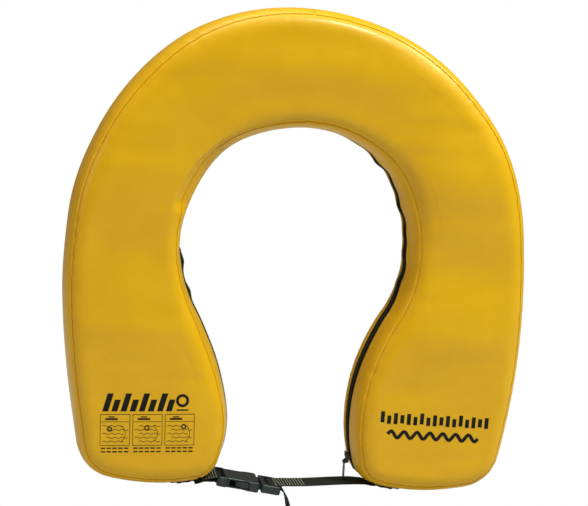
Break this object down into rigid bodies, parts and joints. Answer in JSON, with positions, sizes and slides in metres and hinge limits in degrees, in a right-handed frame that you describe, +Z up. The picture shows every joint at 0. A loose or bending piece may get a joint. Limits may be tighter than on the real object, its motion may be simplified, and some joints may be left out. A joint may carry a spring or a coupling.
{
  "type": "horseshoe rescue buoy",
  "caption": "Horseshoe rescue buoy: foam core in a zipped coated-fabric cover, open at the bottom and closed by a webbing strap with a side-release buckle.",
  "frame": {"origin": "underside of the arch at mid thickness, where the buoy hangs on a peg or a bracket", "axes": "+Z up, from the limbs' ends to the crown; -Y out of the front panel; +X to the right seen from the front"},
  "size_m": [0.6044, 0.1, 0.6613],
  "materials": {
    "cover_fabric": "satin",
    "foam": "matte",
    "zip_tape": "matte",
    "zip_coil": "satin",
    "zip_metal": "satin",
    "webbing": "matte",
    "buckle_plastic": "satin"
  },
  "bodies": {
    "buoy": {"cover_front_panel": "cover_fabric", "cover_back_panel": "cover_fabric", "cover_outer_gusset_left": "cover_fabric", "cover_outer_gusset_right": "cover_fabric", "cover_inner_gusset_front": "cover_fabric", "cover_inner_gusset_back": "cover_fabric", "zip_end_patch_left": "cover_fabric", "zip_end_patch_right": "cover_fabric", "foam_slab_front": "foam", "foam_slab_middle": "foam", "foam_slab_back": "foam", "zip_tape_front": "zip_tape", "zip_tape_back": "zip_tape", "zip_coil_front": "zip_coil", "zip_coil_back": "zip_coil", "zip_stop_left": "zip_metal", "zip_stop_right": "zip_metal", "strap_left": "webbing", "strap_right": "webbing", "strap_patch_left": "webbing", "strap_patch_right": "webbing", "buckle_female": "buckle_plastic", "buckle_male_frame": "buckle_plastic"},
    "slider": {"zip_slider": "zip_metal"},
    "pull_tab": {"zip_pull_tab": "zip_metal"},
    "tail": {"strap_tail": "webbing"},
    "arm_front": {"buckle_arm_front": "buckle_plastic"},
    "arm_back": {"buckle_arm_back": "buckle_plastic"}
  },
  "joints": [
    {"name": "slider_travel", "type": "hinge", "parent": "buoy", "child": "slider", "pos_m": [0.32574, 0, -0.37729], "axis": [0, 1, 0], "range_deg": [0, 44]},
    {"name": "pull_tab_swing", "type": "hinge", "parent": "slider", "child": "pull_tab", "pos_m": [0.08071, 0.004, -0.4373], "axis": [0, 1, 0], "range_deg": [-10, 150]},
    {"name": "tail_flex", "type": "hinge", "parent": "buoy", "child": "tail", "pos_m": [-0.0082, -0.00014, -0.47022], "axis": [0.0129, 0.9962, 0.0862], "range_deg": [-45, 4], "stiffness_Nm_per_rad": 0.004},
    {"name": "arm_front_flex", "type": "hinge", "parent": "buoy", "child": "arm_front", "pos_m": [-0.03407, -0.01594, -0.46943], "axis": [-0.1472, 0.0872, -0.9853], "range_deg": [0, 10], "stiffness_Nm_per_rad": 0.4},
    {"name": "arm_back_flex", "type": "hinge", "parent": "buoy", "child": "arm_back", "pos_m": [-0.03366, 0.01594, -0.46667], "axis": [0.1472, -0.0872, 0.9853], "range_deg": [0, 10], "stiffness_Nm_per_rad": 0.4}
  ]
}
